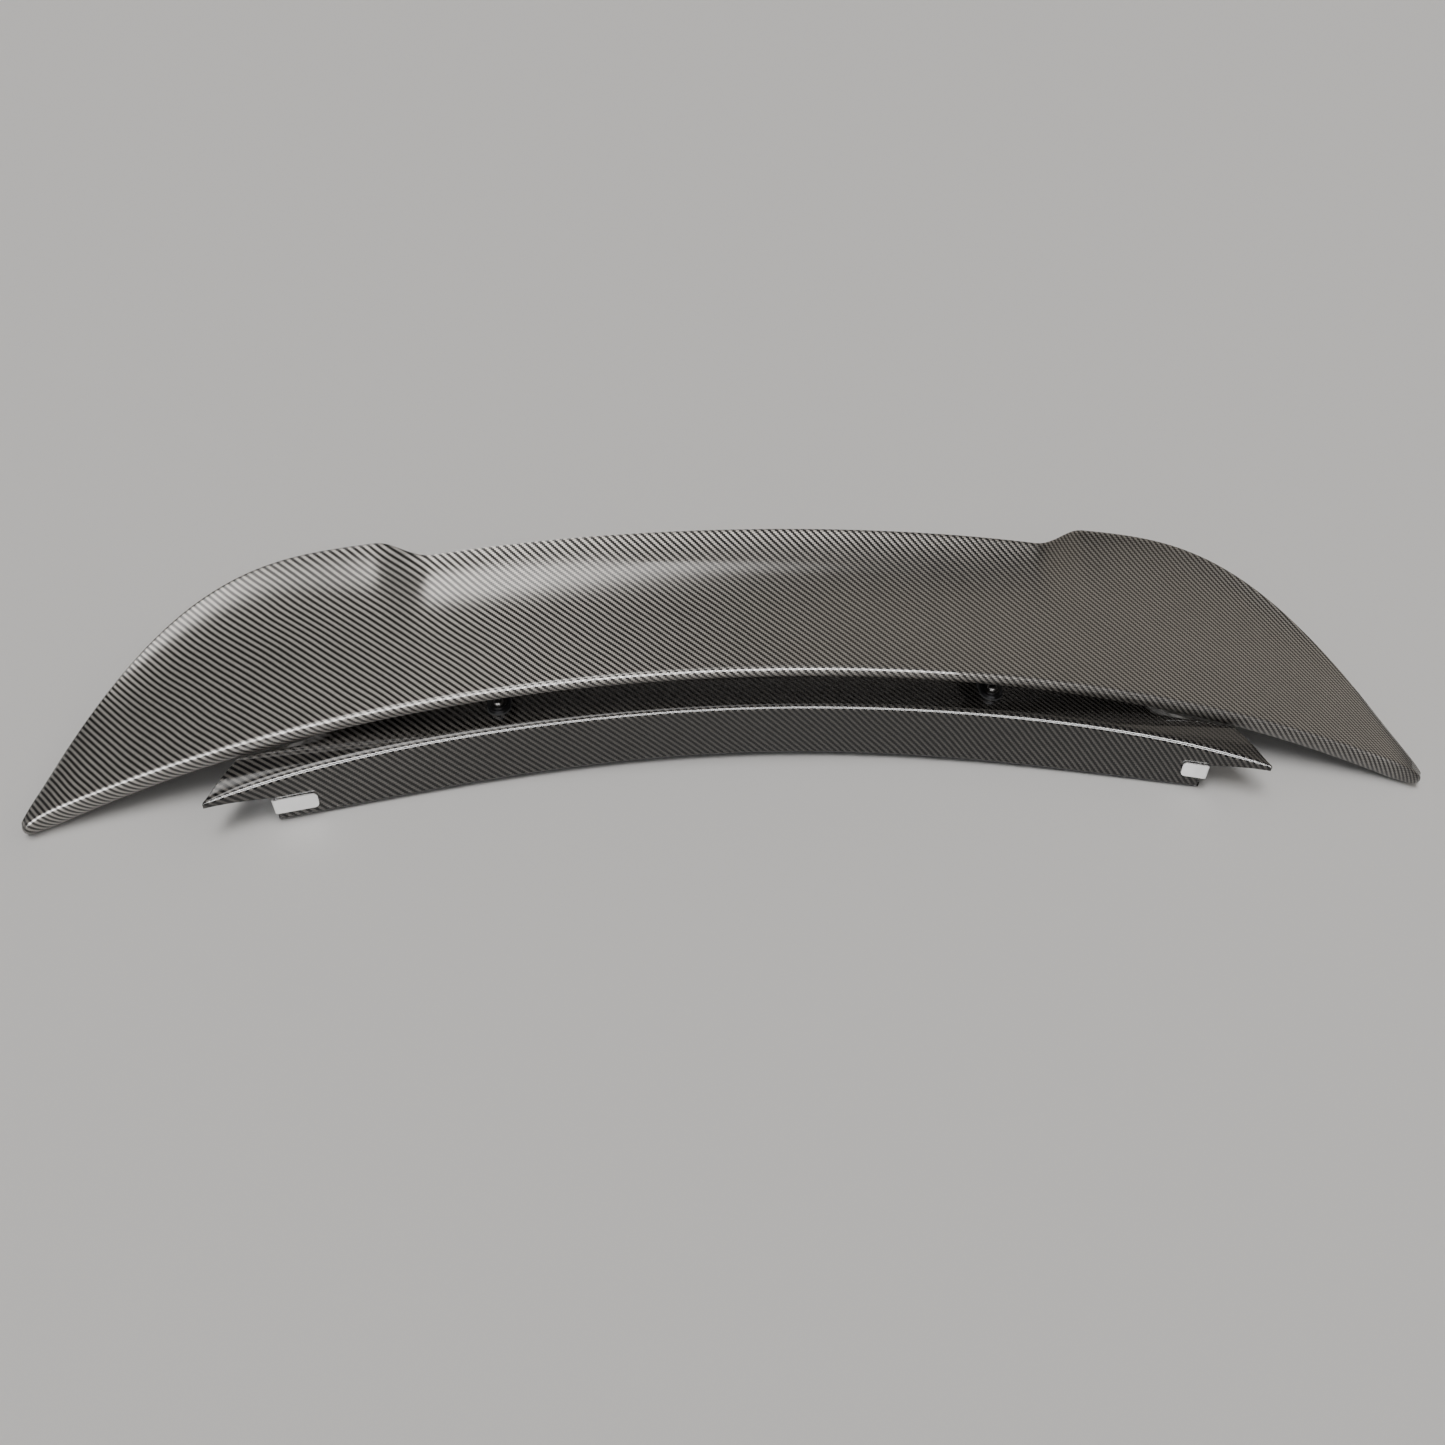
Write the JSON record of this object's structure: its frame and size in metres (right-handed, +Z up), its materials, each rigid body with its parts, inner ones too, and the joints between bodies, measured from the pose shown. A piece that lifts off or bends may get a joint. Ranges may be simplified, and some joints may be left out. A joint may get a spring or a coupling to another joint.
{
  "type": "racing rear wing",
  "caption": "Carbon rear wing: a swept blade with kicked-up trailing edge on two raked pylons over a slim ducktail base with end brackets and underside bolts.",
  "frame": {"origin": "centre of the four base bolts, on the plane that the base pads rest on", "axes": "+X across the car along the span, +Y towards the trailing edge (car rear), +Z up"},
  "size_m": [1.3588, 0.2683, 0.129],
  "materials": {
    "blade_upper_skin": "glossy clear-coated carbon twill",
    "blade_lower_skin": "glossy clear-coated carbon twill",
    "blade_spar": "bare resin-rich laminate",
    "blade_insert_left": "bare rolled sheet, satin",
    "blade_insert_right": "bare rolled sheet, satin",
    "pylon_left": "black anodised, satin",
    "pylon_right": "black anodised, satin",
    "pylon_head_gaskets": "black, matte",
    "pylon_foot_gaskets": "black, matte",
    "blade_screws": "stainless, lightly brushed",
    "blade_screw_washers": "stainless, lightly brushed",
    "pylon_front_screws": "stainless, lightly brushed",
    "pylon_front_washers": "stainless, lightly brushed",
    "pylon_rear_bolts": "zinc-plated",
    "pylon_rear_washers": "zinc-plated",
    "base_upper_skin": "glossy clear-coated carbon twill",
    "base_lower_tray": "black glass-fibre laminate",
    "base_tip_covers": "black glass-fibre laminate",
    "hardpoint_left": "bare rolled sheet, satin",
    "hardpoint_right": "bare rolled sheet, satin",
    "access_plugs": "black, matte",
    "end_bracket_left": "bare rolled sheet, satin",
    "end_bracket_right": "bare rolled sheet, satin",
    "bracket_bolts": "stainless, lightly brushed",
    "bracket_washers": "stainless, lightly brushed",
    "bracket_nuts": "stainless, lightly brushed",
    "mount_inserts": "zinc-plated",
    "rest_pads": "black, matte"
  },
  "bodies": {
    "root": {"blade_upper_skin": "blade_upper_skin", "blade_lower_skin": "blade_lower_skin", "blade_spar": "blade_spar", "blade_insert_left": "blade_insert_left", "blade_insert_right": "blade_insert_right", "pylon_left": "pylon_left", "pylon_right": "pylon_right", "pylon_head_gaskets": "pylon_head_gaskets", "pylon_foot_gaskets": "pylon_foot_gaskets", "blade_screws": "blade_screws", "blade_screw_washers": "blade_screw_washers", "pylon_front_screws": "pylon_front_screws", "pylon_front_washers": "pylon_front_washers", "pylon_rear_bolts": "pylon_rear_bolts", "pylon_rear_washers": "pylon_rear_washers", "base_upper_skin": "base_upper_skin", "base_lower_tray": "base_lower_tray", "base_tip_covers": "base_tip_covers", "hardpoint_left": "hardpoint_left", "hardpoint_right": "hardpoint_right", "access_plugs": "access_plugs", "end_bracket_left": "end_bracket_left", "end_bracket_right": "end_bracket_right", "bracket_bolts": "bracket_bolts", "bracket_washers": "bracket_washers", "bracket_nuts": "bracket_nuts", "mount_inserts": "mount_inserts", "rest_pads": "rest_pads"}
  },
  "joints": []
}
